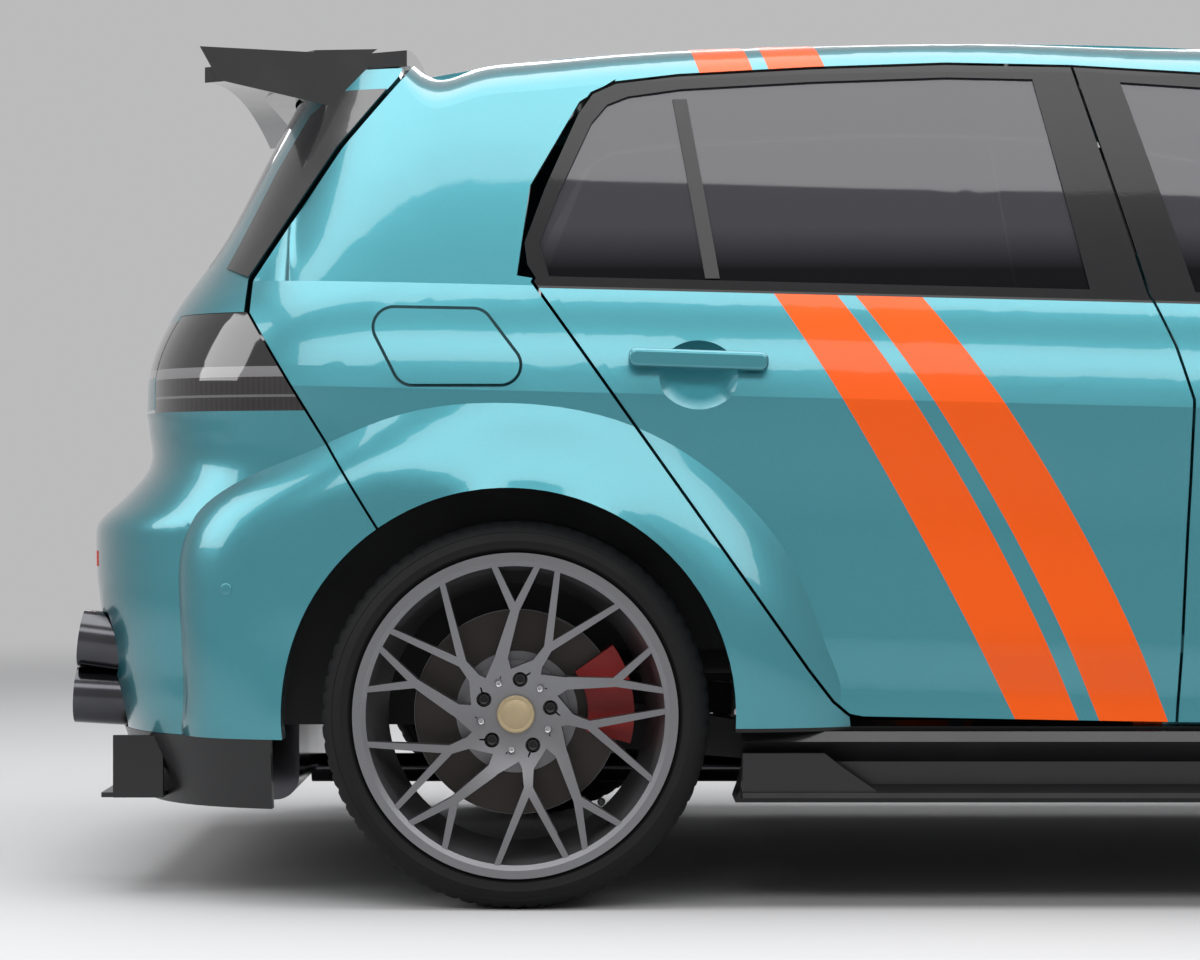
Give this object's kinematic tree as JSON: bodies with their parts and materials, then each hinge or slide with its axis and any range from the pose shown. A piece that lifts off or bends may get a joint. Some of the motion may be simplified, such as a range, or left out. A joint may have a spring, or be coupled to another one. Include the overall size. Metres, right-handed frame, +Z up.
{
  "type": "hot hatchback",
  "caption": "Compact hatchback with flared arches, roof spoiler, diagonal stripes and forked-spoke wheels; doors, bonnet, tailgate and flap open, the front wheels steer.",
  "frame": {"origin": "on the ground, half-way between the bumpers' ends, on the car's middle plane", "axes": "+X to the front of the car, +Y to its left side, +Z up"},
  "size_m": [4.2634, 2.1692, 1.4558],
  "materials": {
    "paint": "metallic teal paint with orange stripes",
    "gloss_black": "gloss black",
    "black_plastic": "grained black plastic",
    "glass": "tinted glass",
    "tail_lens": "smoked red lens",
    "head_lens": "clear lens",
    "alloy": "satin grey machined alloy",
    "tyre": "black rubber",
    "steel": "bare steel",
    "dark_metal": "painted dark steel",
    "cloth": "dark grey cloth",
    "trim": "soft dark grey plastic"
  },
  "bodies": {
    "body": {"floor_pan": "dark_metal", "body_side_right": "paint", "body_side_left": "paint", "roof_panel": "paint", "windscreen": "glass", "cowl_and_wipers": "black_plastic", "front_wing_right": "paint", "front_wing_left": "paint", "front_bumper": "paint", "headlamps": "head_lens", "front_grilles": "gloss_black", "tail_lamps": "tail_lens", "rear_bumper": "paint", "rear_diffuser": "black_plastic", "exhaust": "steel", "side_skirts": "gloss_black", "arch_liners": "black_plastic", "rear_axle": "dark_metal", "engine": "dark_metal", "radiator": "dark_metal", "dashboard": "trim", "steering_wheel": "trim", "front_seats": "cloth", "rear_seats": "cloth"},
    "tailgate": {"tailgate": "paint", "tailgate_lamps": "tail_lens", "rear_window": "glass", "rear_spoiler": "gloss_black", "rear_fins": "gloss_black", "rear_wiper": "black_plastic"},
    "bonnet": {"bonnet": "paint"},
    "fuel_flap": {"fuel_flap": "paint"},
    "rear_door_right": {"rear_door_right": "paint", "rear_door_glass_right": "glass"},
    "rear_door_left": {"rear_door_left": "paint", "rear_door_glass_left": "glass"},
    "front_door_right": {"front_door_right": "paint", "front_door_glass_right": "glass"},
    "front_door_left": {"front_door_left": "paint", "front_door_glass_left": "glass"},
    "front_knuckle_right": {"front_knuckle_right": "dark_metal"},
    "front_knuckle_left": {"front_knuckle_left": "dark_metal"},
    "rear_wheel_right": {"rear_rim_right": "alloy", "rear_tyre_right": "tyre"},
    "rear_wheel_left": {"rear_rim_left": "alloy", "rear_tyre_left": "tyre"},
    "front_wheel_right": {"front_rim_right": "alloy", "front_tyre_right": "tyre"},
    "front_wheel_left": {"front_rim_left": "alloy", "front_tyre_left": "tyre"}
  },
  "joints": [
    {"name": "rear_door_hinge_right", "type": "hinge", "parent": "body", "child": "rear_door_right", "pos_m": [-0.323, -0.897, 0.6], "axis": [0, 0, 1], "range_deg": [0, 68]},
    {"name": "front_door_hinge_right", "type": "hinge", "parent": "body", "child": "front_door_right", "pos_m": [0.701, -0.886, 0.6], "axis": [0, 0, 1], "range_deg": [0, 66]},
    {"name": "steering_right", "type": "hinge", "parent": "body", "child": "front_knuckle_right", "pos_m": [1.245, -0.78, 0.308], "axis": [0, 0, 1], "range_deg": [-33, 33]},
    {"name": "rear_wheel_spin_right", "type": "hinge", "parent": "body", "child": "rear_wheel_right", "pos_m": [-1.385, -0.806, 0.308], "axis": [0, 1, 0], "continuous": true},
    {"name": "front_wheel_spin_right", "type": "hinge", "parent": "front_knuckle_right", "child": "front_wheel_right", "pos_m": [1.245, -0.806, 0.308], "axis": [0, 1, 0], "continuous": true},
    {"name": "rear_door_hinge_left", "type": "hinge", "parent": "body", "child": "rear_door_left", "pos_m": [-0.323, 0.897, 0.6], "axis": [0, 0, -1], "range_deg": [0, 68]},
    {"name": "front_door_hinge_left", "type": "hinge", "parent": "body", "child": "front_door_left", "pos_m": [0.701, 0.886, 0.6], "axis": [0, 0, -1], "range_deg": [0, 66]},
    {"name": "steering_left", "type": "hinge", "parent": "body", "child": "front_knuckle_left", "pos_m": [1.245, 0.78, 0.308], "axis": [0, 0, 1], "range_deg": [-33, 33]},
    {"name": "rear_wheel_spin_left", "type": "hinge", "parent": "body", "child": "rear_wheel_left", "pos_m": [-1.385, 0.806, 0.308], "axis": [0, 1, 0], "continuous": true},
    {"name": "front_wheel_spin_left", "type": "hinge", "parent": "front_knuckle_left", "child": "front_wheel_left", "pos_m": [1.245, 0.806, 0.308], "axis": [0, 1, 0], "continuous": true},
    {"name": "bonnet_hinge", "type": "hinge", "parent": "body", "child": "bonnet", "pos_m": [0.716, 0, 0.944], "axis": [0, -1, 0], "range_deg": [0, 55]},
    {"name": "tailgate_hinge", "type": "hinge", "parent": "body", "child": "tailgate", "pos_m": [-1.561, 0, 1.392], "axis": [0, 1, 0], "range_deg": [0, 78]},
    {"name": "fuel_flap_hinge", "type": "hinge", "parent": "body", "child": "fuel_flap", "pos_m": [-1.382, -0.8865, 0.85], "axis": [0, 0, 1], "range_deg": [0, 80]}
  ],
  "couplings": [
    {"joint": "steering_right", "follows": "steering_left", "ratio": 1}
  ]
}
